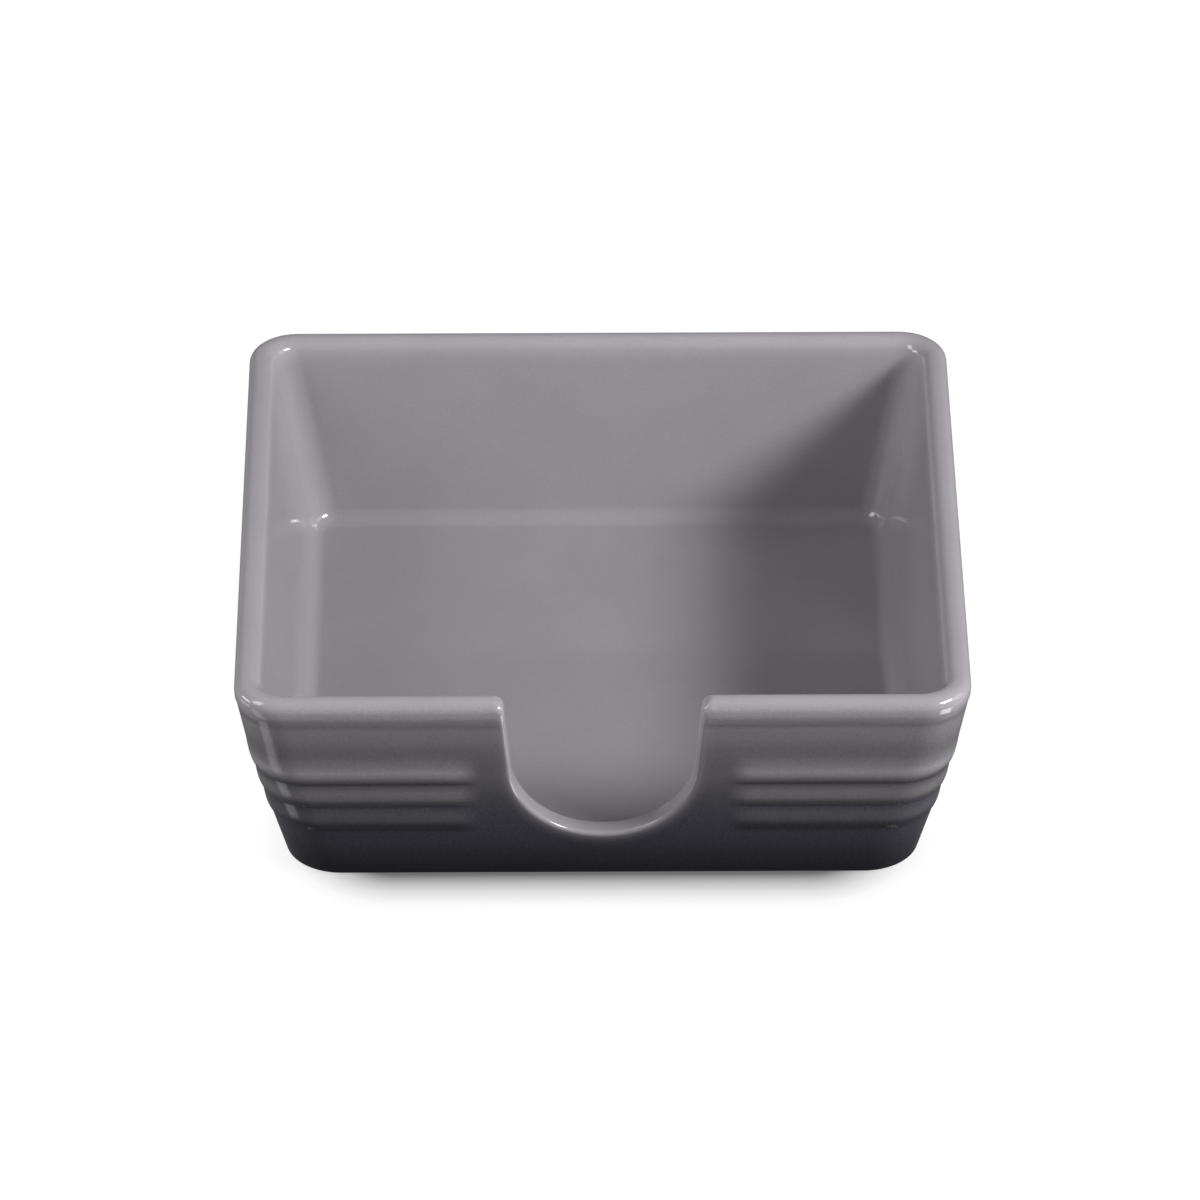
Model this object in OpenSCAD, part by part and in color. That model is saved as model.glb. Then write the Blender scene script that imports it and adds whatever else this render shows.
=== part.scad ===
/* [Overall size] */
// Overall width across the rim, left to right
rim_w = 172.6; // [156:0.2:190]
// Overall depth across the rim, front to back
rim_d = 172.6; // [156:0.2:190]
// Height from the foot to the top of the rim
height = 55.2; // [51:0.2:64]
// Width of the outside walls carried down to the table
base_w = 149.8; // [136:0.2:154]
// Depth of the outside walls carried down to the table
base_d = 149.8; // [136:0.2:154]
// Radius of the upright outside corners at the rim
corner_r = 11.8; // [9:0.2:15]
// Radius of the upright outside corners at the base
base_corner_r = 13.4; // [10:0.2:16]

/* [Walls and floor] */
// Thickness of the wall at the rim
rim_t = 6.2; // [5.6:0.1:7.5]
// Thickness of the wall where it meets the floor
wall_t = 5.5; // [4.4:0.1:6.5]
// Thickness of the floor slab above the recess of the foot
floor_t = 6.3; // [4.5:0.1:7.5]
// Radius of the hollow fillet between the floor and the walls
fillet_r = 4.5; // [3.5:0.1:7]
// Radius of the upright inside corners at the rim
inner_corner_r = 6.6; // [4.6:0.2:9]
// Radius of the corners of the flat part of the floor
floor_corner_r = 2.9; // [1:0.1:4]

/* [Rim and foot] */
// Radius that rounds the outer and inner edges of the rim
rim_edge_r = 2.6; // [1.8:0.1:2.7]
// Height of the rolled band under the top of the rim
rim_band_h = 5.8; // [5:0.1:7]
// Radius that rounds the bottom edge of the walls
base_edge_r = 1.3; // [1:0.1:3]
// Width of the glazed margin between the rounded edge and the foot ring
foot_margin = 1.2; // [0.8:0.1:3]
// Width of the flat ring that stands on the table
foot_w = 4; // [3:0.1:5.5]
// Gap between the glazed underside and the table
foot_h = 0.3; // [0.2:0.05:0.9]
// Height of the recess inside the foot ring
recess_h = 2.4; // [1.8:0.1:3]

/* [Ribs] */
// Height of the top crease above the table
top_crease_z = 30.2; // [28:0.1:32]
// Distance from one crease to the next
crease_pitch = 7.35; // [6.4:0.05:7.9]
// Height over which the top rib dies out into the wall
shoulder_h = 8.4; // [6:0.1:9]
// How far each rib swells out of the wall
rib_rise = 0.45; // [0.2:0.05:0.8]
// Distance from the side of the notch to where the ribs begin to fade in
rib_gap = 6.8; // [4:0.1:9]
// Length over which the ribs fade in
rib_fade = 6.5; // [3:0.1:9]

/* [Notch] */
// Radius of the round bottom of the notch
notch_r = 21.6; // [18:0.1:24]
// Height of the lowest point of the notch
notch_floor_z = 13.8; // [12.5:0.1:17]
// Angle by which each side of the notch leans outwards, in degrees
notch_lean = 5; // [2:0.5:8]
// Radius that rounds the two top corners of the notch
notch_corner_r = 3; // [2.7:0.1:5]
// Radius that rounds the outer and inner edges of the notch
lip_edge_r = 1.2; // [0.9:0.1:1.7]

/* [Glaze] */
// Thickness of the fired glaze coats
glaze_t = 0.5; // [0.35:0.05:0.7]

/* [Hidden] */

// Steps round a quarter of the notch, its side, its corner and a wall corner
arc_steps = 7;
side_steps = 2;
bend_steps = 3;
corner_steps = 5;
fade_steps = 4;
edge_steps = 4;
lip_steps = 3;
fillet_steps = 6;

// Heights that the profile of the wall turns at
low_crease_z = top_crease_z - 2 * crease_pitch;
shoulder_z = top_crease_z + shoulder_h;
band_z = height - rim_band_h;
rim_z = height - rim_edge_r;
floor_z = recess_h + floor_t;

// Share of the whole flare that the wall has reached at each of those heights
low_crease_share = 0.33;
top_crease_share = 0.63;
shoulder_share = 0.795;
band_share = 0.957;
roll_share = 0.5;
roll_flare_share = 0.99;
flare_shares = [
    [0, 0],
    [low_crease_z, low_crease_share],
    [top_crease_z, top_crease_share],
    [shoulder_z, shoulder_share],
    [band_z, band_share],
    [band_z + roll_share * (rim_z - band_z), roll_flare_share],
    [rim_z, 1]
];

// Where along a rib its rows lie, and how far its swell leans to its lower side
rib_row_shares = [0, 0.12, 0.36, 0.68];
rib_skew = 0.65;

// Share of the corner radius that a small corner of the foot keeps
foot_corner_share = 0.2;
// Share of the front wall's straight length that the fan of the notch takes
fan_share = 0.72;
// Slope of the sides of the foot ring, as a share of their height
foot_slope_share = 0.6;

function mix(a, b, t) = a + (b - a) * t;
function clamp01(t) = min(1, max(0, t));

// Half widths of the outside, without the ribs, at a height
function flare_at(z) = lookup(z, flare_shares);
function wall_slope(flare) = flare * low_crease_share / low_crease_z;
function edge_top_z(flare) = foot_h + base_edge_r * (1 - sin(atan(wall_slope(flare))));
function edge_centre(half, flare) =
    half + wall_slope(flare) * edge_top_z(flare) - base_edge_r * cos(atan(wall_slope(flare)));
function edge_reach(z) = sqrt(max(0, pow(base_edge_r, 2) - pow(foot_h + base_edge_r - z, 2)));
function outside_half(z, half, flare) =
    z < edge_top_z(flare)
        ? edge_centre(half, flare) + edge_reach(z)
        : half + flare * flare_at(z);

flare_x = (rim_w - base_w) / 2;
flare_y = (rim_d - base_d) / 2;
function outside_x(z) = outside_half(z, base_w / 2, flare_x);
function outside_y(z) = outside_half(z, base_d / 2, flare_y);

// Radius of the outside corners, which opens a little towards the base
edge_top = edge_top_z(flare_x);
function outside_corner(z) =
    z < edge_top
        ? outside_corner(edge_top) + outside_x(z) - outside_x(edge_top)
        : mix(base_corner_r, corner_r, z / rim_z);

// Half widths of the inside at a height: a straight wall on a round fillet
function inside_lean(foot, rim) = atan((rim - foot) / (rim_z - floor_z));
function fillet_tangent(foot, rim) = fillet_r * tan((90 - inside_lean(foot, rim)) / 2);
function inside_half(z, foot, rim) =
    z < floor_z + fillet_tangent(foot, rim) * cos(inside_lean(foot, rim))
        ? foot - fillet_tangent(foot, rim) + fillet_reach(z)
        : mix(foot, rim, (z - floor_z) / (rim_z - floor_z));
function fillet_reach(z) = sqrt(max(0, pow(fillet_r, 2) - pow(floor_z + fillet_r - z, 2)));

foot_in_x = outside_x(floor_z) - wall_t;
foot_in_y = outside_y(floor_z) - wall_t;
rim_in_x = rim_w / 2 - rim_t;
rim_in_y = rim_d / 2 - rim_t;
function inside_x(z) = inside_half(z, foot_in_x, rim_in_x);
function inside_y(z) = inside_half(z, foot_in_y, rim_in_y);

// Radius of the inside corners: it opens downwards, then closes round the fillet
fillet_top_z = floor_z + fillet_tangent(foot_in_x, rim_in_x) * cos(inside_lean(foot_in_x, rim_in_x));
wall_corner_r = floor_corner_r + inside_x(fillet_top_z) - inside_x(floor_z);
function inside_corner(z) =
    z < fillet_top_z
        ? floor_corner_r + inside_x(z) - inside_x(floor_z)
        : mix(wall_corner_r, inner_corner_r, (z - fillet_top_z) / (rim_z - fillet_top_z));

// Swell of the ribs at a height: each rises fast from its crease and sinks slowly
function rib_swell(t) = t <= 0 || t >= 1 ? 0 : rib_rise * sin(180 * pow(t, rib_skew));
function rib_at(z) =
    z >= top_crease_z
        ? rib_swell((z - top_crease_z) / shoulder_h)
        : z >= top_crease_z - crease_pitch
            ? rib_swell((z - top_crease_z + crease_pitch) / crease_pitch)
            : rib_swell((z - low_crease_z) / crease_pitch);
function rib_strength(x) = smooth(clamp01((abs(x) - notch_r - rib_gap) / rib_fade));
function smooth(t) = t * t * (3 - 2 * t);

// Outline of one side of the notch in the front view, from its lowest point up
notch_centre_z = notch_floor_z + notch_r;
side_foot = [notch_r * cos(notch_lean), notch_centre_z - notch_r * sin(notch_lean)];
function side_x(z) = side_foot[0] + (z - side_foot[1]) * tan(notch_lean);
bend_centre = [
    side_x(height - notch_corner_r) + notch_corner_r / cos(notch_lean),
    height - notch_corner_r
];
side_top = [
    bend_centre[0] - notch_corner_r * cos(notch_lean),
    bend_centre[1] + notch_corner_r * sin(notch_lean)
];
arc_sweep = 90 - notch_lean;
arc_length = notch_r * arc_sweep * PI / 180;
side_length = norm(side_top - side_foot);
bend_length = notch_corner_r * arc_sweep * PI / 180;
notch_length = arc_length + side_length + bend_length;

// The fan of columns that runs from the notch down to the base of the front wall
front_straight = base_w / 2 - base_corner_r;
fan_half = fan_share * front_straight;
lip_total = notch_length + fan_half - bend_centre[0];
function fan_foot(s) = fan_half * s / lip_total;

// One column: [foot x, lip x, lip z, direction x, direction z, edge radius]
function arc_column(a) = [
    fan_foot(arc_length * a / arc_sweep),
    notch_r * sin(a),
    notch_centre_z - notch_r * cos(a),
    sin(a),
    -cos(a),
    lip_edge_r
];
function side_column(t) = [
    fan_foot(arc_length + side_length * t),
    mix(side_foot[0], side_top[0], t),
    mix(side_foot[1], side_top[1], t),
    cos(notch_lean),
    -sin(notch_lean),
    lip_edge_r
];
function bend_column(t) = [
    fan_foot(arc_length + side_length + bend_length * t),
    bend_centre[0] - notch_corner_r * cos(mix(notch_lean, 90, t)),
    bend_centre[1] + notch_corner_r * sin(mix(notch_lean, 90, t)),
    cos(mix(notch_lean, 90, t)),
    -sin(mix(notch_lean, 90, t)),
    mix(lip_edge_r, rim_edge_r, t)
];
function fade_column(t) = [
    fan_foot(mix(notch_length, lip_total, t)),
    mix(bend_centre[0], fan_half, t),
    height,
    0,
    -1,
    rim_edge_r
];
half_fan = concat(
    [for (i = [1:arc_steps]) arc_column(arc_sweep * i / arc_steps)],
    [for (i = [1:side_steps]) side_column(i / side_steps)],
    [for (i = [1:bend_steps]) bend_column(i / bend_steps)],
    [for (i = [1:fade_steps]) fade_column(i / fade_steps)]
);
function flipped(c) = [-c[0], -c[1], c[2], -c[3], c[4], c[5]];
fan = concat(
    [for (i = [len(half_fan) - 1:-1:0]) flipped(half_fan[i])],
    [arc_column(0)],
    half_fan
);

// A plain column: [share along x, share along y, angle], all of one form
function corner_columns(sx, sy, from) =
    [for (i = [0:corner_steps]) [sx, sy, from + 90 * i / corner_steps]];
plain = concat(
    corner_columns(1, -1, -90),
    [[1, 0, 0]],
    corner_columns(1, 1, 0),
    [[0, 1, 90]],
    corner_columns(-1, 1, 90),
    [[-1, 0, 180]],
    corner_columns(-1, -1, 180)
);
function on_plain(c, hx, hy, r, z) = [
    c[0] * (hx - r) + r * cos(c[2]),
    c[1] * (hy - r) + r * sin(c[2]),
    z
];

// Heights of the rows up the outside wall, from its round bottom edge to the rim
edge_lean = atan(wall_slope(flare_x));
edge_zs = [
    for (i = [0:edge_steps])
        foot_h + base_edge_r * (1 - sin(mix(90, edge_lean, i / edge_steps)))
];
rib_zs = concat(
    [for (k = [0:1], t = rib_row_shares) low_crease_z + (k + t) * crease_pitch],
    [for (t = rib_row_shares) top_crease_z + t * shoulder_h]
);
roll_zs = [shoulder_z, band_z, flare_shares[5][0], rim_z];
outer_zs = concat(edge_zs, rib_zs, roll_zs);
band_row = len(outer_zs) - 3;

// Heights of the rows down the inside wall, from the rim to the floor
wall_row_shares = [0, 0.35, 0.7];
inside_lean_x = inside_lean(foot_in_x, rim_in_x);
inner_zs = concat(
    [for (t = wall_row_shares) mix(rim_z, fillet_top_z, t)],
    [
        for (i = [0:fillet_steps])
            floor_z + fillet_r * (1 - sin(mix(inside_lean_x, 90, i / fillet_steps)))
    ]
);

// A point on the outside of a column, a share of the way up that its row sets
function outer_share(z) = (z - outer_zs[0]) / (rim_z - outer_zs[0]);
function outer_plain(c, z) =
    let (swell = rib_at(z))
    on_plain(c, outside_x(z) + swell, outside_y(z) + swell, outside_corner(z) + swell, z);
function outer_fan(c, z) =
    let (t = outer_share(z))
    let (x = mix(c[0], c[1] + c[5] * c[3], t))
    let (h = mix(outer_zs[0], c[2] + c[5] * c[4], t))
    [x, -outside_y(h) - rib_at(h) * rib_strength(x), h];

// A point over the lip: the angle runs from the wall's face to the top of the lip
lip_angles = [for (i = [1:lip_steps]) 90 * i / lip_steps];
function lip_plain(c, a, inner) =
    let (z = height - rim_edge_r * (1 - sin(a)))
    let (back = rim_edge_r * (1 - cos(a)))
    inner
        ? on_plain(c, inside_x(z) + back, inside_y(z) + back, inside_corner(z) + back, z)
        : on_plain(c, rim_w / 2 - back, rim_d / 2 - back, corner_r - back, z);
function lip_fan(c, a, inner) =
    let (x = c[1] + c[5] * c[3] * (1 - sin(a)))
    let (z = c[2] + c[5] * c[4] * (1 - sin(a)))
    let (back = c[5] * (1 - cos(a)))
    [x, inner ? -inside_y(z) - back : -outside_y(z) + back, z];

// The flat part of the floor, and how much narrower than the base its fan is
floor_inset = fillet_r / 2;
floor_hx = inside_x(floor_z) - floor_inset;
floor_hy = inside_y(floor_z) - floor_inset;
inner_fan_share = (floor_hx - floor_corner_r) / front_straight;

// A point on the inside of a column; low columns space their rows evenly
function inner_plain(c, z) = on_plain(c, inside_x(z), inside_y(z), inside_corner(z), z);
function inner_fan(c, i) =
    let (top = c[2] + c[5] * c[4])
    let (even = 1 - i / (len(inner_zs) - 1))
    let (plain_share = (inner_zs[i] - floor_z) / (rim_z - floor_z))
    let (tall = clamp01((top - fillet_top_z) / (rim_z - fillet_top_z)))
    let (t = mix(even, plain_share, tall))
    let (z = mix(floor_z, top, t))
    [mix(c[0] * inner_fan_share, c[1] + c[5] * c[3], t), -inside_y(z), z];

// The rings under the base: recess, foot ring and the margin outside it
foot_x = base_w / 2 - base_edge_r - foot_margin;
foot_y = base_d / 2 - base_edge_r - foot_margin;
foot_corner = base_corner_r - base_edge_r - foot_margin;
recess_slope = foot_slope_share * recess_h;
foot_slope = foot_slope_share * foot_h;
under_rings = [
    [2 * foot_w + recess_slope, recess_h],
    [foot_w + recess_slope, recess_h],
    [foot_w, 0],
    [0, 0],
    [-foot_slope, foot_h]
];
function under_plain(c, at) =
    let (r = max(foot_corner * foot_corner_share, foot_corner - at[0]))
    on_plain(c, foot_x - at[0], foot_y - at[0], r, at[1]);
function under_fan(c, at) = [c[0], at[0] - foot_y, at[1]];

// Whole rings of points: first the fan of the notch, then the plain columns
function under_ring(at) = concat(
    [for (c = fan) under_fan(c, at)],
    [for (c = plain) under_plain(c, at)]
);
function outer_ring(z) = concat(
    [for (c = fan) outer_fan(c, z)],
    [for (c = plain) outer_plain(c, z)]
);
function lip_ring(a, inner) = concat(
    [for (c = fan) lip_fan(c, a, inner)],
    [for (c = plain) lip_plain(c, a, inner)]
);
function inner_ring(i) = concat(
    [for (c = fan) inner_fan(c, i)],
    [for (c = plain) inner_plain(c, inner_zs[i])]
);
floor_ring = concat(
    [for (c = fan) [c[0] * inner_fan_share, -floor_hy, floor_z]],
    [for (c = plain) on_plain(c, floor_hx, floor_hy, floor_corner_r, floor_z)]
);

// The finished surface, from the recess over the rim to the floor
finished = concat(
    [for (at = under_rings) under_ring(at)],
    [for (z = outer_zs) outer_ring(z)],
    [for (a = lip_angles) lip_ring(a, false)],
    [for (i = [lip_steps - 1:-1:0]) lip_ring(lip_angles[i], true)],
    [for (i = [0:len(inner_zs) - 1]) inner_ring(i)],
    [floor_ring]
);

// Outward direction at a point of the finished surface, from its neighbours
columns = len(fan) + len(plain);
last_ring = len(finished) - 1;
function turn(i) = (i + columns) % columns;
function normal_at(v, u) =
    let (along = finished[v][turn(u + 1)] - finished[v][turn(u - 1)])
    let (up = finished[min(last_ring, v + 1)][u] - finished[max(0, v - 1)][u])
    let (n = cross(along, up))
    n / norm(n);

// The clay under the glaze: the finished surface set back by the glaze
clay = [
    for (v = [0:last_ring])
        [for (u = [0:columns - 1]) finished[v][u] - glaze_t * normal_at(v, u)]
];

// Rings where the coats begin and end
recess_end = 1;
glaze_start = len(under_rings) - 1;
coat_joint = len(under_rings) + band_row;
function rings(surface, from, to) =
    from <= to ? [for (v = [from:to]) surface[v]] : [for (v = [from:-1:to]) surface[v]];

// A closed skin through a list of rings, with flat ends or joined end to start
module skin(list, joined = false) {
    n = len(list);
    spans = joined ? n : n - 1;
    points = [for (ring = list, p = ring) p];
    sides = [
        for (v = [0:spans - 1], u = [0:columns - 1])
            let (a = v * columns + u)
            let (b = v * columns + turn(u + 1))
            let (c = ((v + 1) % n) * columns + turn(u + 1))
            let (d = ((v + 1) % n) * columns + u)
            each [[a, c, b], [a, d, c]]
    ];
    middles = [[0, 0, list[0][0][2]], [0, 0, list[n - 1][0][2]]];
    first_end = [for (u = [0:columns - 1]) [n * columns, u, turn(u + 1)]];
    last_end = [
        for (u = [0:columns - 1])
            [n * columns + 1, (n - 1) * columns + turn(u + 1), (n - 1) * columns + u]
    ];
    polyhedron(
        joined ? points : concat(points, middles),
        joined ? sides : concat(sides, first_end, last_end)
    );
}

// Fired clay vessel with its ribs, notch and bare foot ring
module stoneware_body() {
    color([0.80, 0.75, 0.68])
        skin(concat(
            rings(clay, 0, recess_end),
            rings(finished, recess_end, glaze_start),
            rings(clay, glaze_start, last_ring)
        ));
}

// Pale coat over the floor, the inside walls, the rim and the lip of the notch
module lining_glaze() {
    color([0.58, 0.56, 0.59])
        skin(concat(
            rings(clay, last_ring, coat_joint),
            rings(finished, coat_joint, last_ring)
        ));
}

// Dark graded coat on the outside, from under the rim to the foot ring
module outer_glaze() {
    color([0.24, 0.23, 0.25])
        skin(concat(
            rings(finished, glaze_start, coat_joint),
            rings(clay, coat_joint, glaze_start)
        ), joined = true);
}

// Coat on the roof of the recess inside the foot ring
module foot_glaze() {
    color([0.50, 0.48, 0.51])
        skin(concat(
            rings(finished, 0, recess_end),
            rings(clay, recess_end, 0)
        ));
}

stoneware_body();
lining_glaze();
outer_glaze();
foot_glaze();
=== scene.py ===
import math

import bmesh
import bpy
from mathutils import Matrix, Vector


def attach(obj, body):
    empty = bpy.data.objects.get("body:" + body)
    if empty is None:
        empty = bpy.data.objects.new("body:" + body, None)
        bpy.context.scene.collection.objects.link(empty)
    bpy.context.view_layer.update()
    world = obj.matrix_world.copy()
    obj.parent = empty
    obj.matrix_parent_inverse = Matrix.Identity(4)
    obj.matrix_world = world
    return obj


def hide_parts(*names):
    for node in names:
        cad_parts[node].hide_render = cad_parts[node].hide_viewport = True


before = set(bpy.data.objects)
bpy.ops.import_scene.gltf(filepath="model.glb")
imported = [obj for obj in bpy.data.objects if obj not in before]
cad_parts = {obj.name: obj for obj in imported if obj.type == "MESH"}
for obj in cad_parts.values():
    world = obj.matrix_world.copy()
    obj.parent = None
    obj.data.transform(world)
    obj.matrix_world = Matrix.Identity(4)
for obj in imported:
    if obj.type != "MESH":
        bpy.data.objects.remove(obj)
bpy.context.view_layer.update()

MM = 0.001

# Sizes of the vessel in millimetres, as its solids have them
RIM_HALF = 86.3
BASE_HALF = 74.9
HEIGHT = 55.2
CORNER_R = 11.8
BASE_CORNER_R = 13.4
FLOOR_Z = 8.7
FILLET_R = 4.5
WALL_T = 5.5
RIM_T = 6.2
RIM_EDGE_R = 2.6
RIM_BAND_H = 5.8
BASE_EDGE_R = 1.3
FOOT_H = 0.3
TOP_CREASE_Z = 30.2
CREASE_PITCH = 7.35
SHOULDER_H = 8.4
RIB_RISE = 0.45
RIB_SKEW = 0.65
RIB_GAP = 6.8
RIB_FADE = 6.5
NOTCH_R = 21.6
NOTCH_FLOOR_Z = 13.8
NOTCH_LEAN = math.radians(5.0)
NOTCH_CORNER_R = 3.0
LIP_EDGE_R = 1.2
INNER_CORNER_R = 6.6
FLOOR_CORNER_R = 2.9
FAN_SHARE = 0.72
GLAZE_T = 0.5

# Steps from one column or ring of points to the next; along the lip they follow the
# arc of the notch, its side, its upper bend and the rim
LIP_STEPS = [26, 8, 10, 14]
CORNER_STEPS = 24
PLAIN_SHARES = (0.6, 0.2, -0.2, -0.6)
EDGE_STEPS = 10
BASE_STEPS = 10
RIB_STEPS = [0.03, 0.07, 0.12, 0.18, 0.25, 0.33, 0.42, 0.52, 0.63, 0.75, 0.87, 0.96]
SHOULDER_STEPS = 12
BAND_STEPS = 8
ROUND_STEPS = 8
WALL_STEPS = 12
FILLET_STEPS = 20
FILLET_SHARE = 0.3
FLOOR_SHARES = (0.95, 0.8, 0.6, 0.4, 0.2, 0.08)

RIM_Z = HEIGHT - RIM_EDGE_R
BAND_Z = HEIGHT - RIM_BAND_H
LOW_CREASE_Z = TOP_CREASE_Z - 2 * CREASE_PITCH
SHOULDER_Z = TOP_CREASE_Z + SHOULDER_H
FLARE = RIM_HALF - BASE_HALF
LOW_CREASE_SHARE = 0.33
# Height, and how much of the flare the wall has reached there
FLARE_SHARES = [
    (0.0, 0.0),
    (LOW_CREASE_Z, LOW_CREASE_SHARE),
    (TOP_CREASE_Z, 0.63),
    (SHOULDER_Z, 0.795),
    (BAND_Z, 0.957),
    (BAND_Z + 0.5 * (RIM_Z - BAND_Z), 0.99),
    (RIM_Z, 1.0),
]
BASE_SLOPE = FLARE * LOW_CREASE_SHARE / LOW_CREASE_Z
EDGE_LEAN = math.atan(BASE_SLOPE)
EDGE_TOP_Z = FOOT_H + BASE_EDGE_R * (1 - math.sin(EDGE_LEAN))


def mix(a, b, t):
    return a + (b - a) * t


def clamp(t):
    return min(1.0, max(0.0, t))


def smooth(t):
    return t * t * (3 - 2 * t)


# The outside wall


def flare_at(z):
    for (z0, s0), (z1, s1) in zip(FLARE_SHARES, FLARE_SHARES[1:]):
        if z <= z1:
            return mix(s0, s1, (z - z0) / (z1 - z0))
    return 1.0


def outside_half(z):
    if z >= EDGE_TOP_Z:
        return BASE_HALF + FLARE * flare_at(z)
    centre = BASE_HALF + BASE_SLOPE * EDGE_TOP_Z - BASE_EDGE_R * math.cos(EDGE_LEAN)
    drop = FOOT_H + BASE_EDGE_R - z
    return centre + math.sqrt(max(0.0, BASE_EDGE_R**2 - drop**2))


def outside_corner(z):
    at_edge = mix(BASE_CORNER_R, CORNER_R, max(z, EDGE_TOP_Z) / RIM_Z)
    return at_edge + min(0.0, outside_half(z) - outside_half(EDGE_TOP_Z))


def rib_at(z):
    """How far a rib stands out: it swells fast above its crease and sinks slowly."""
    if z >= TOP_CREASE_Z:
        t = (z - TOP_CREASE_Z) / SHOULDER_H
    elif z >= TOP_CREASE_Z - CREASE_PITCH:
        t = (z - TOP_CREASE_Z + CREASE_PITCH) / CREASE_PITCH
    else:
        t = (z - LOW_CREASE_Z) / CREASE_PITCH
    return RIB_RISE * math.sin(math.pi * t**RIB_SKEW) if 0 < t < 1 else 0.0


def rib_strength(x):
    """The ribs of the front die out beside the notch."""
    return smooth(clamp((abs(x) - NOTCH_R - RIB_GAP) / RIB_FADE))


# The inside wall and its fillet

FOOT_IN = outside_half(FLOOR_Z) - WALL_T
RIM_IN = RIM_HALF - RIM_T
IN_LEAN = math.atan((RIM_IN - FOOT_IN) / (RIM_Z - FLOOR_Z))
TANGENT = FILLET_R * math.tan((math.pi / 2 - IN_LEAN) / 2)
FILLET_TOP_Z = FLOOR_Z + TANGENT * math.cos(IN_LEAN)


def inside_half(z):
    if z >= FILLET_TOP_Z:
        return mix(FOOT_IN, RIM_IN, (z - FLOOR_Z) / (RIM_Z - FLOOR_Z))
    drop = FLOOR_Z + FILLET_R - z
    return FOOT_IN - TANGENT + math.sqrt(max(0.0, FILLET_R**2 - drop**2))


def inside_corner(z):
    at_fillet = FLOOR_CORNER_R + inside_half(min(z, FILLET_TOP_Z)) - inside_half(FLOOR_Z)
    if z <= FILLET_TOP_Z:
        return at_fillet
    return mix(at_fillet, INNER_CORNER_R, (z - FILLET_TOP_Z) / (RIM_Z - FILLET_TOP_Z))


# The notch in the front wall, and the fan of columns below it

NOTCH_CENTRE_Z = NOTCH_FLOOR_Z + NOTCH_R
SIDE_X = NOTCH_R * math.cos(NOTCH_LEAN)
SIDE_Z = NOTCH_CENTRE_Z - NOTCH_R * math.sin(NOTCH_LEAN)
BEND_Z = HEIGHT - NOTCH_CORNER_R
BEND_X = SIDE_X + (BEND_Z - SIDE_Z) * math.tan(NOTCH_LEAN)
BEND_X += NOTCH_CORNER_R / math.cos(NOTCH_LEAN)
TOP_X = BEND_X - NOTCH_CORNER_R * math.cos(NOTCH_LEAN)
TOP_Z = BEND_Z + NOTCH_CORNER_R * math.sin(NOTCH_LEAN)
SWEEP = math.pi / 2 - NOTCH_LEAN
ARC_LENGTH = NOTCH_R * SWEEP
SIDE_LENGTH = math.hypot(TOP_X - SIDE_X, TOP_Z - SIDE_Z)
BEND_LENGTH = NOTCH_CORNER_R * SWEEP
SIDE_END = ARC_LENGTH + SIDE_LENGTH
BEND_END = SIDE_END + BEND_LENGTH
FAN_HALF = FAN_SHARE * (BASE_HALF - BASE_CORNER_R)
LIP_LENGTH = BEND_END + FAN_HALF - BEND_X
FAN_IN_SHARE = (inside_half(FLOOR_Z) - FLOOR_CORNER_R) / (BASE_HALF - BASE_CORNER_R)


class FanColumn:
    """A column of the front wall: where it leaves the base and meets the lip."""

    def __init__(self, run):
        self.foot_x = FAN_HALF * run / LIP_LENGTH
        self.edge_r = LIP_EDGE_R
        if run <= ARC_LENGTH:
            a = run / NOTCH_R
            self.lip = (NOTCH_R * math.sin(a), NOTCH_CENTRE_Z - NOTCH_R * math.cos(a))
            self.out = (math.sin(a), -math.cos(a))
        elif run <= SIDE_END:
            t = (run - ARC_LENGTH) / SIDE_LENGTH
            self.lip = (mix(SIDE_X, TOP_X, t), mix(SIDE_Z, TOP_Z, t))
            self.out = (math.cos(NOTCH_LEAN), -math.sin(NOTCH_LEAN))
        elif run <= BEND_END:
            t = (run - SIDE_END) / BEND_LENGTH
            a = mix(NOTCH_LEAN, math.pi / 2, t)
            self.out = (math.cos(a), -math.sin(a))
            self.lip = (
                BEND_X - NOTCH_CORNER_R * self.out[0],
                BEND_Z - NOTCH_CORNER_R * self.out[1],
            )
            self.edge_r = mix(LIP_EDGE_R, RIM_EDGE_R, t)
        else:
            self.lip = (run - LIP_LENGTH + FAN_HALF, HEIGHT)
            self.out = (0.0, -1.0)
            self.edge_r = RIM_EDGE_R

    def on_lip(self, reach):
        """A point that lies a reach outside the edge of the opening, as (x, z)."""
        x, z = self.lip
        return x + self.out[0] * reach, z + self.out[1] * reach

    def outer(self, z):
        t = (z - FOOT_H) / (RIM_Z - FOOT_H)
        lip_x, lip_z = self.on_lip(self.edge_r)
        x, h = mix(self.foot_x, lip_x, t), mix(FOOT_H, lip_z, t)
        return x, -outside_half(h) - rib_at(h) * rib_strength(x), h

    def over_lip(self, a, inner):
        x, z = self.on_lip(self.edge_r * (1 - math.sin(a)))
        back = self.edge_r * (1 - math.cos(a))
        y = inside_half(z) + back if inner else outside_half(z) - back
        return x, -y, z

    def inner(self, share, z_plain):
        x, top = self.on_lip(self.edge_r)
        plain = (z_plain - FLOOR_Z) / (RIM_Z - FLOOR_Z)
        tall = clamp((top - FILLET_TOP_Z) / (RIM_Z - FILLET_TOP_Z))
        t = mix(share, plain, tall)
        z = mix(FLOOR_Z, top, t)
        return mix(self.foot_x * FAN_IN_SHARE, x, t), -inside_half(z), z

    def floor(self, share):
        return self.foot_x * FAN_IN_SHARE * share, -inside_half(FLOOR_Z) * share, FLOOR_Z


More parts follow.
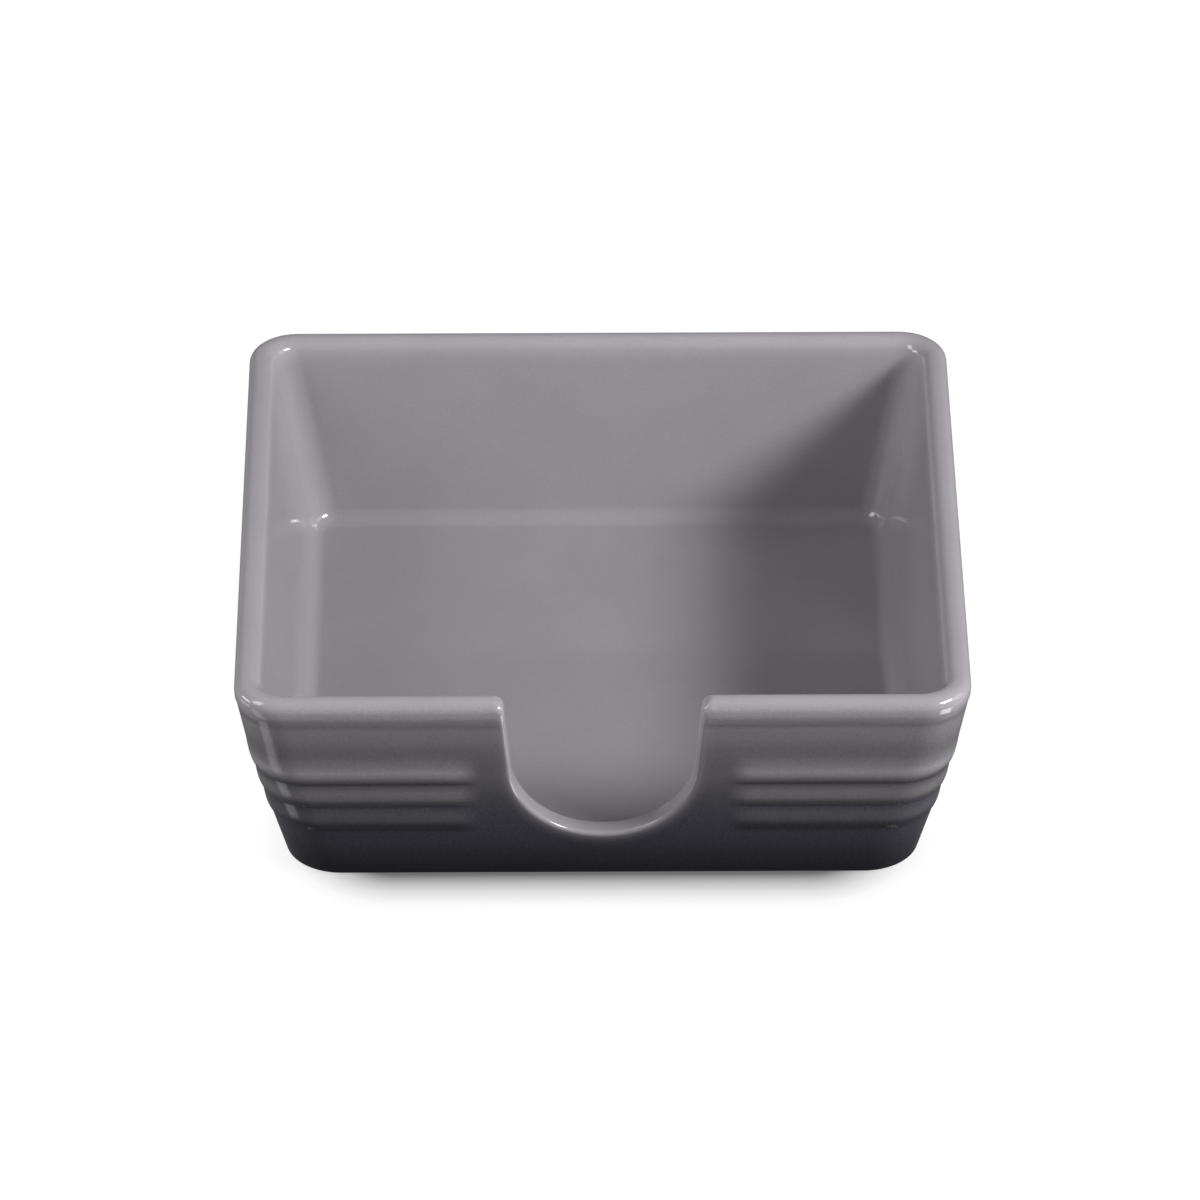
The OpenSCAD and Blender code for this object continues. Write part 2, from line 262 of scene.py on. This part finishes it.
class MirroredColumn(FanColumn):
    """The same column on the left of the notch."""

    def mirrored(self, point):
        return -point[0], point[1], point[2]

    def outer(self, z):
        return self.mirrored(super().outer(z))

    def over_lip(self, a, inner):
        return self.mirrored(super().over_lip(a, inner))

    def inner(self, share, z_plain):
        return self.mirrored(super().inner(share, z_plain))

    def floor(self, share):
        return self.mirrored(super().floor(share))


class WallColumn:
    """A column of a corner or of a plain wall: shares along X and Y, and an angle."""

    def __init__(self, along_x, along_y, angle):
        self.along = (along_x, along_y)
        self.angle = math.radians(angle)

    def at(self, half, r, z):
        x = self.along[0] * (half - r) + r * math.cos(self.angle)
        y = self.along[1] * (half - r) + r * math.sin(self.angle)
        return x, y, z

    def outer(self, z):
        swell = rib_at(z)
        return self.at(outside_half(z) + swell, outside_corner(z) + swell, z)

    def over_lip(self, a, inner):
        z = HEIGHT - RIM_EDGE_R * (1 - math.sin(a))
        back = RIM_EDGE_R * (1 - math.cos(a))
        if inner:
            return self.at(inside_half(z) + back, inside_corner(z) + back, z)
        return self.at(RIM_HALF - back, CORNER_R - back, z)

    def inner(self, share, z_plain):
        return self.at(inside_half(z_plain), inside_corner(z_plain), z_plain)

    def floor(self, share):
        return self.at(inside_half(FLOOR_Z) * share, FLOOR_CORNER_R * share, FLOOR_Z)


def spread(stops, counts):
    """Values that run through the stops, with a number of steps for each stretch."""
    values = [stops[0]]
    for a, b, n in zip(stops, stops[1:], counts):
        values += [mix(a, b, i / n) for i in range(1, n + 1)]
    return values


runs = spread([0.0, ARC_LENGTH, SIDE_END, BEND_END, LIP_LENGTH], LIP_STEPS)
columns = [MirroredColumn(r) for r in reversed(runs[1:])] + [FanColumn(r) for r in runs]
# Each corner's side in X, its side in Y and its first angle, from the front right round
for sx, sy, start in ((1, -1, -90), (1, 1, 0), (-1, 1, 90), (-1, -1, 180)):
    columns += [
        WallColumn(sx, sy, start + 90 * i / CORNER_STEPS) for i in range(CORNER_STEPS + 1)
    ]
    turn = start + 90
    if turn > 180:
        break  # the front wall has its own columns
    for share in PLAIN_SHARES:
        along = (sx, sy * share) if turn % 180 == 0 else (sx * share, sy)
        columns.append(WallColumn(*along, turn))

edge_heights = [
    FOOT_H + BASE_EDGE_R * (1 - math.sin(mix(math.pi / 2, EDGE_LEAN, i / EDGE_STEPS)))
    for i in range(EDGE_STEPS + 1)
]
outer_heights = edge_heights + spread([edge_heights[-1], LOW_CREASE_Z], [BASE_STEPS])[1:]
for crease, rise in (
    (LOW_CREASE_Z, CREASE_PITCH),
    (LOW_CREASE_Z + CREASE_PITCH, CREASE_PITCH),
    (TOP_CREASE_Z, SHOULDER_H),
):
    outer_heights += [crease + rise * t for t in RIB_STEPS] + [crease + rise]
outer_heights += spread([SHOULDER_Z, BAND_Z], [SHOULDER_STEPS])[1:]
rim_heights = spread([BAND_Z, RIM_Z], [BAND_STEPS])
lip_angles = [math.pi / 2 * i / ROUND_STEPS for i in range(1, ROUND_STEPS + 1)]
inner_shares = spread([1.0, FILLET_SHARE, 0.0], [WALL_STEPS, FILLET_STEPS])
inner_heights = spread([RIM_Z, FILLET_TOP_Z], [WALL_STEPS])
inner_heights += [
    FLOOR_Z + FILLET_R * (1 - math.sin(mix(IN_LEAN, math.pi / 2, i / FILLET_STEPS)))
    for i in range(1, FILLET_STEPS + 1)
]

outer_rows = [[c.outer(z) for c in columns] for z in outer_heights]
lining_rows = [[c.outer(z) for c in columns] for z in rim_heights]
lining_rows += [[c.over_lip(a, False) for c in columns] for a in lip_angles]
lining_rows += [[c.over_lip(a, True) for c in columns] for a in reversed(lip_angles)]
for share, z in zip(inner_shares, inner_heights):
    lining_rows.append([c.inner(share, z) for c in columns])
lining_rows += [[c.floor(share) for c in columns] for share in FLOOR_SHARES]


def throw_skin(name, rows, closed_floor=False):
    """A skin drawn up ring by ring, as a pot grows on a wheel."""
    bm = bmesh.new()
    ring = bmesh.ops.create_circle(bm, segments=len(rows[0]), radius=1.0)["verts"]
    edges = list(bm.edges)
    place(ring, rows[0])
    for row in rows[1:]:
        made = bmesh.ops.extrude_edge_only(bm, edges=edges)["geom"]
        edges = [g for g in made if isinstance(g, bmesh.types.BMEdge) and g.is_boundary]
        ring = in_order(ring, {g for g in made if isinstance(g, bmesh.types.BMVert)})
        place(ring, row)
    if closed_floor:
        bmesh.ops.contextual_create(bm, geom=edges)
        bmesh.ops.poke(bm, faces=[f for f in bm.faces if len(f.verts) > 4])
    bmesh.ops.recalc_face_normals(bm, faces=bm.faces)
    for face in bm.faces:
        face.smooth = True
    for edge in bm.edges:
        edge.smooth = not edge.is_boundary
    mesh = bpy.data.meshes.new(name)
    bm.to_mesh(mesh)
    bm.free()
    piece = bpy.data.objects.new(name, mesh)
    bpy.context.scene.collection.objects.link(piece)
    return piece


def place(ring, points):
    for vert, point in zip(ring, points):
        vert.co = Vector(point) * MM


def in_order(ring, fresh):
    """The new ring's points in the same order as the ring they grew from."""
    grown = [[edge.other_vert(vert) for edge in vert.link_edges] for vert in ring]
    return [next(vert for vert in ends if vert in fresh) for ends in grown]


def thicken(piece, thickness):
    """A coat has its thickness inwards, down to the clay."""
    coat = piece.modifiers.new("coat", "SOLIDIFY")
    coat.thickness = thickness * MM
    coat.offset = -1


# Finishes: heights and distances in millimetres, levels as shares of white

# Red and blue for a green of 1
PALE_TINT = (1.055, 1.08)
DARK_TINT = (1.04, 1.42)
CLAY_TINT = (1.08, 0.9)

# Height and level of the dark glaze, without its ribs; the dip at 48.7 mm is painted shade
# under the rim band
OUTSIDE_GLAZE_AND_PAINTED_SHADE = [
    (0.0, 0.008), (2.7, 0.013), (6.6, 0.023), (10.4, 0.037), (14.2, 0.048),
    (18.1, 0.056), (21.9, 0.068), (25.7, 0.085), (29.6, 0.114), (33.4, 0.148),
    (37.3, 0.154), (41.1, 0.167), (44.5, 0.220), (47.2, 0.242), (48.7, 0.182),
    (50.3, 0.290), (52.2, 0.355),
]
# Height and strength of the colour on the ribs: partly glaze that pools in the creases and
# thins on the ribs, partly painted shade in the creases and painted light on the crests
RIB_POOLING_AND_PAINTED_SHADE = [
    (12.0, 0.40), (14.4, 0.36), (15.5, 0.21), (17.0, 0.29), (18.8, 0.64), (20.6, 0.58),
    (22.85, 0.33), (24.3, 0.42), (25.8, 0.82), (27.6, 0.74), (29.4, 0.40), (30.2, 0.22),
    (31.3, 0.44), (32.8, 0.78), (34.2, 0.90), (36.0, 0.62), (38.6, 0.43), (42.0, 0.40),
]
PLAIN_RIB_LEVEL = 0.40
# Places in Y between which the ribs stop heeding the notch
BEHIND_FRONT = (-60.0, -50.0)
GRADING_WAVER = 1.6
BLUISH_LEVELS = (0.12, 0.03)
DARK_GRAIN = 0.45
BLUISH_GRAIN = 0.7

PALE_LEVEL = 0.305
PALE_MOTTLE = 0.12
PALE_GRAIN = 0.16
# Heights between which the pale glaze is made lighter over the rim: a painted highlight
# where the rim catches the light
PAINTED_RIM_LIGHT_HEIGHTS = (49.0, 53.5)
PAINTED_RIM_LIGHT_GAIN = 0.16

# Distance past the notch, and how much of the glaze there is the pale one
NOTCH_RUN = [
    (0.4, 1.0), (0.9, 0.72), (1.2, 0.5), (1.6, 0.33), (2.0, 0.22), (2.6, 0.1), (4.0, 0.0),
]
# The lean of the front wall, and the depths between which a place counts as on it
FRONT_LEAN = 0.21
FRONT_DEPTHS = (73.7, 75.0)

RELIEF_DEPTH = 0.2


class Amount:
    """A number on a shader socket, so that a finish is written as a sum."""

    def __init__(self, nodes, socket):
        self.nodes = nodes
        self.socket = socket

    def maths(self, operation, first, second):
        return self.nodes.add("ShaderNodeMath", {"operation": operation}, [first, second])

    def __add__(self, other):
        return self.maths("ADD", self, other)

    def __radd__(self, other):
        return self.maths("ADD", other, self)

    def __sub__(self, other):
        return self.maths("SUBTRACT", self, other)

    def __rsub__(self, other):
        return self.maths("SUBTRACT", other, self)

    def __mul__(self, other):
        return self.maths("MULTIPLY", self, other)

    def __rmul__(self, other):
        return self.maths("MULTIPLY", other, self)

    def __abs__(self):
        return self.maths("ABSOLUTE", self, 0.0)

    def at_least(self, other):
        return self.maths("MAXIMUM", self, other)

    def at_most(self, other):
        return self.maths("MINIMUM", self, other)

    def root(self):
        return self.maths("SQRT", self, 0.0)


class Nodes:
    """The nodes of a finish, or of the room round the table."""

    def __init__(self, tree):
        self.tree = tree

    def add(self, kind, settings, values, output=0):
        """Adds a node, sets it, fills its sockets and gives one of its outputs."""
        node = self.tree.nodes.new(kind)
        for key, value in settings.items():
            if key == "stops":
                stops = node.color_ramp.elements
                stops[0].color, stops[1].color = value[0][1], value[-1][1]
                for place_at, colour in value[1:-1]:
                    stops.new(place_at).color = colour
            else:
                setattr(node, key, value)
        pairs = values.items() if isinstance(values, dict) else enumerate(values)
        for key, value in pairs:
            if isinstance(value, Amount):
                self.join(value, node.inputs[key])
            else:
                node.inputs[key].default_value = value
        return Amount(self, node.outputs[output])

    def join(self, amount, socket):
        self.tree.links.new(amount.socket, socket)


class Finish(Nodes):
    """One material, built on its main shader."""

    def __init__(self, name, **fixed):
        self.material = bpy.data.materials.new(name)
        self.material.use_nodes = True
        super().__init__(self.material.node_tree)
        self.shader = self.tree.nodes["Principled BSDF"]
        for socket, value in fixed.items():
            self.shader.inputs[socket.replace("_", " ")].default_value = value

    def set(self, socket, amount):
        self.join(amount, self.shader.inputs[socket])

    def point(self):
        return self.add("ShaderNodeTexCoord", {}, [], "Object")

    def along(self, axis):
        """Place along one axis, in millimetres from the middle of the table."""
        return self.add("ShaderNodeSeparateXYZ", {}, [self.point()], axis) * (1 / MM)

    def cloud(self, scale, detail=3.0):
        sockets = {"Vector": self.point(), "Scale": scale, "Detail": detail}
        return self.add("ShaderNodeTexNoise", {}, sockets, "Fac")

    def grain(self, scale, amount, detail=3.0):
        """A factor that wavers about 1."""
        return 1.0 + (self.cloud(scale, detail) - 0.5) * amount

    def blend(self, a, b, share):
        return self.add("ShaderNodeMix", {"data_type": "RGBA"}, {0: share, 6: a, 7: b}, 2)

    def shade(self, colour, level):
        return self.add(
            "ShaderNodeVectorMath", {"operation": "SCALE"}, {0: colour, "Scale": level}
        )

    def ease(self, value, start, end):
        """A share that runs softly from 0 to 1 between two values."""
        sockets = [value, start, end, 0.0, 1.0]
        return self.add("ShaderNodeMapRange", {"interpolation_type": "SMOOTHSTEP"}, sockets)

    def curve(self, value, stops):
        """A share read off a line of (value, share) stops."""
        first, span = stops[0][0], stops[-1][0] - stops[0][0]
        greys = [((v - first) / span, (g, g, g, 1.0)) for v, g in stops]
        along = (value - first) * (1 / span)
        return self.add("ShaderNodeValToRGB", {"stops": greys}, [along])

    def beside(self, half_x, half_y, r):
        """Distance from a round-cornered oblong on the table, in millimetres."""
        across = (abs(self.along("X")) - (half_x - r)).at_least(0.0)
        deep = (abs(self.along("Y")) - (half_y - r)).at_least(0.0)
        return (across * across + deep * deep).root() - r

    def relief(self, height, strength):
        sockets = {"Height": height, "Distance": RELIEF_DEPTH * MM, "Strength": strength}
        self.set("Normal", self.add("ShaderNodeBump", {}, sockets))

    def show_to_camera(self, other):
        """The camera sees the other shader; the pottery is lit and mirrored by this one."""
        seen = self.add("ShaderNodeLightPath", {}, [], "Is Camera Ray")
        own = Amount(self, self.shader.outputs["BSDF"])
        return self.add("ShaderNodeMixShader", {}, [seen, own, other])

    def only_from_above(self, sheet):
        """From below the sheet isn't there, so that the underside can be looked at."""
        below = self.add("ShaderNodeNewGeometry", {}, [], "Backfacing")
        gone = self.add("ShaderNodeBsdfTransparent", {}, [])
        side = self.add("ShaderNodeMixShader", {}, [below, sheet, gone])
        self.join(side, self.tree.nodes["Material Output"].inputs["Surface"])


def tone(level, tint=PALE_TINT):
    red, blue = tint
    return (level * red, level, level * blue, 1.0)


def by_notch(finish):
    """How far the pale glaze has run out over the front below and beside the notch."""
    rise = finish.along("Z") - NOTCH_CENTRE_Z
    low = rise.at_most(0.0)
    x = finish.along("X")
    past = (x * x + low * low).root() - rise.at_least(0.0) * math.tan(NOTCH_LEAN) - NOTCH_R
    depth = finish.along("Y") * -1 - finish.along("Z") * FRONT_LEAN
    return finish.curve(past, NOTCH_RUN), finish.ease(depth, *FRONT_DEPTHS)


def graded(finish):
    """The outside colour: near black at the foot, paler upwards; on the ribs paler on the
    crests and darker in the creases, partly glaze and partly painted light and shade.
    """
    waver = (finish.cloud(30.0) - 0.5) * GRADING_WAVER
    level = finish.curve(finish.along("Z") + waver, OUTSIDE_GLAZE_AND_PAINTED_SHADE)
    # painted shade in the creases and painted light on the crests, on top of the glaze
    # pooling
    rib = finish.curve(finish.along("Z"), RIB_POOLING_AND_PAINTED_SHADE) * (1 / PLAIN_RIB_LEVEL)
    start = NOTCH_R + RIB_GAP
    beside = finish.ease(abs(finish.along("X")), start, start + RIB_FADE)
    behind = finish.ease(finish.along("Y"), *BEHIND_FRONT)
    strength = beside.at_least(behind)
    level = level * (rib * strength + (1.0 - strength))
    bluish = finish.ease(level, *BLUISH_LEVELS)
    level = level * finish.grain(2200.0, DARK_GRAIN + bluish * BLUISH_GRAIN, detail=2.0)
    tint = finish.blend(tone(1.0), tone(1.0, DARK_TINT), bluish)
    return finish.shade(tint, level)


def pale(finish):
    """The inside colour, with a painted highlight that makes it a little lighter over the
    rim.
    """
    # painted highlight: lighter towards the top of the rim, where it catches the light
    level = PALE_LEVEL * (1.0 + finish.ease(finish.along("Z"), *PAINTED_RIM_LIGHT_HEIGHTS) * PAINTED_RIM_LIGHT_GAIN)
    level = level * finish.grain(55.0, PALE_MOTTLE)
    level = level * finish.grain(1800.0, PALE_GRAIN, detail=2.0)
    return finish.shade(tone(1.0)[:3], level)


light_glaze = Finish("light glaze", Roughness=0.12, IOR=1.5)
run, front = by_notch(light_glaze)
past_lip = (1.0 - run) * front
light_glaze.set(
    "Base Color", light_glaze.blend(pale(light_glaze), graded(light_glaze), past_lip)
)
light_glaze.relief(light_glaze.cloud(38.0, detail=1.0), 0.2)

dark_glaze = Finish("dark graded glaze", Roughness=0.16, IOR=1.5)
run, front = by_notch(dark_glaze)
dark_glaze.set(
    "Base Color", dark_glaze.blend(graded(dark_glaze), pale(dark_glaze), run * front)
)
dark_glaze.relief(dark_glaze.cloud(900.0, detail=2.0), 0.12)

bare_clay = Finish("bare stoneware", Roughness=0.85, IOR=1.45)
speckle = bare_clay.cloud(300.0)
bare_clay.set(
    "Base Color", bare_clay.blend(tone(0.55, CLAY_TINT), tone(0.4, CLAY_TINT), speckle)
)
bare_clay.relief(bare_clay.cloud(1200.0), 0.5)

# Pieces

lining = throw_skin("lining_coat", lining_rows, closed_floor=True)
outside = throw_skin("outer_coat", outer_rows)
for piece, node, slot, finish in (
    (lining, "lining_glaze", "light_glaze", light_glaze),
    (outside, "outer_glaze", "dark_glaze", dark_glaze),
):
    thicken(piece, GLAZE_T)
    piece.data.materials.append(finish.material)
    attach(piece, "root")
    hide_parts(node)

for node, finish in (("stoneware_body", bare_clay), ("foot_glaze", light_glaze)):
    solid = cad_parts[node]
    solid.data.materials.clear()
    solid.data.materials.append(finish.material)

# Table, light and camera

TABLE_HALF = 3.0
# Distance from the foot in millimetres, and how white the table looks there under a painted
# contact shadow
PAINTED_CONTACT_SHADOW = [
    (0.0, 0.16), (2.3, 0.36), (4.1, 0.5), (6.0, 0.61), (7.8, 0.72), (12.3, 0.9),
    (20.0, 1.0),
]
SHADE_INSET = 13
ROOM_LEVEL = 0.115
LAMP_AIM_Z = 0.03

# The photo's camera: pixels, then degrees, then millimetres
FRAME_PX = 1200
FOCAL_PX = 9256.378
PX_PER_MM = 4.129
TILT, SWING = 32.079, -0.427
AIM = (-0.076, 0, 29.736)
SENSOR_MM = 36

table_mesh = bpy.data.meshes.new("table_top")
bm = bmesh.new()
bmesh.ops.create_grid(bm, x_segments=1, y_segments=1, size=TABLE_HALF)
bm.to_mesh(table_mesh)
bm.free()
table = bpy.data.objects.new("table_top", table_mesh)
bpy.context.scene.collection.objects.link(table)
# The glaze mirrors a polished table; the camera sees a white one with a soft painted shadow
# round the foot
white = Finish(
    "white table",
    Base_Color=(0, 0, 0, 1),
    Roughness=0.08,
    IOR=1.85,
    Specular_IOR_Level=1.0,
    Emission_Color=(1, 1, 1, 1),
    Emission_Strength=0.1,
)
away_from_foot = white.beside(BASE_HALF - SHADE_INSET, BASE_HALF, BASE_CORNER_R)
# painted shadow: the table the camera sees grows darker towards the foot
white_past_painted_shadow = white.curve(away_from_foot, PAINTED_CONTACT_SHADOW)
sheet = white.add(
    "ShaderNodeBsdfPrincipled",
    {},
    {
        "Base Color": white_past_painted_shadow * 0.1,
        "Roughness": 1.0,
        "Specular IOR Level": 0.0,
        "Emission Color": white.blend((0, 0, 0, 1), (1, 1, 1, 1), white_past_painted_shadow),
        "Emission Strength": 0.96,
    },
)
white.only_from_above(white.show_to_camera(sheet))
table.data.materials.append(white.material)

world = bpy.data.worlds.new("studio")
bpy.context.scene.world = world
world.use_nodes = True
sky = world.node_tree.nodes["Background"]
sky.inputs["Color"].default_value = (1, 1, 1, 1)
room = Nodes(world.node_tree)
seen = room.add("ShaderNodeLightPath", {}, [], "Is Camera Ray")
glow = room.add(
    "ShaderNodeMapRange", {}, {"Value": seen, "To Min": ROOM_LEVEL, "To Max": 1.0}
)
room.join(glow, sky.inputs["Strength"])


def softbox(name, azimuth, elevation, distance, size, power):
    """A soft panel that looks at the holder: degrees, metres and watts."""
    a, e = math.radians(azimuth), math.radians(elevation)
    away = Vector((math.sin(a) * math.cos(e), -math.cos(a) * math.cos(e), math.sin(e)))
    data = bpy.data.lights.new(name, "AREA")
    data.shape = "RECTANGLE"
    data.size, data.size_y = size
    data.energy = power
    lamp = bpy.data.objects.new(name, data)
    bpy.context.scene.collection.objects.link(lamp)
    lamp.location = Vector((0, 0, LAMP_AIM_Z)) + away * distance
    lamp.rotation_mode = "QUATERNION"
    lamp.rotation_quaternion = (-away).to_track_quat("-Z", "Y")


softbox("right panel", 61, 33.5, 1.4, (0.55, 0.3), 20)
softbox("side strip", 88, 22, 1.4, (0.6, 0.6), 3)
softbox("left strip", -67, 36, 0.8, (0.24, 0.42), 2.2)
softbox("left card", -90, 14, 1.4, (0.6, 0.3), 5)

camera_data = bpy.data.cameras.new("camera")
camera_data.lens = FOCAL_PX / FRAME_PX * SENSOR_MM
camera_data.sensor_width = SENSOR_MM
camera_data.clip_start, camera_data.clip_end = 0.1, 20
camera = bpy.data.objects.new("camera", camera_data)
bpy.context.scene.collection.objects.link(camera)
bpy.context.scene.camera = camera
tilt, swing = math.radians(TILT), math.radians(SWING)
right = Vector((math.cos(swing), math.sin(swing), 0))
back = Vector(
    (math.sin(swing) * math.cos(tilt), -math.cos(swing) * math.cos(tilt), math.sin(tilt))
)
turned = Matrix((right, back.cross(right), back)).transposed()
camera.rotation_mode = "QUATERNION"
camera.rotation_quaternion = turned.to_quaternion()
camera.location = Vector(AIM) * MM + back * (FOCAL_PX / PX_PER_MM) * MM

bpy.context.scene.view_settings.view_transform = "Standard"
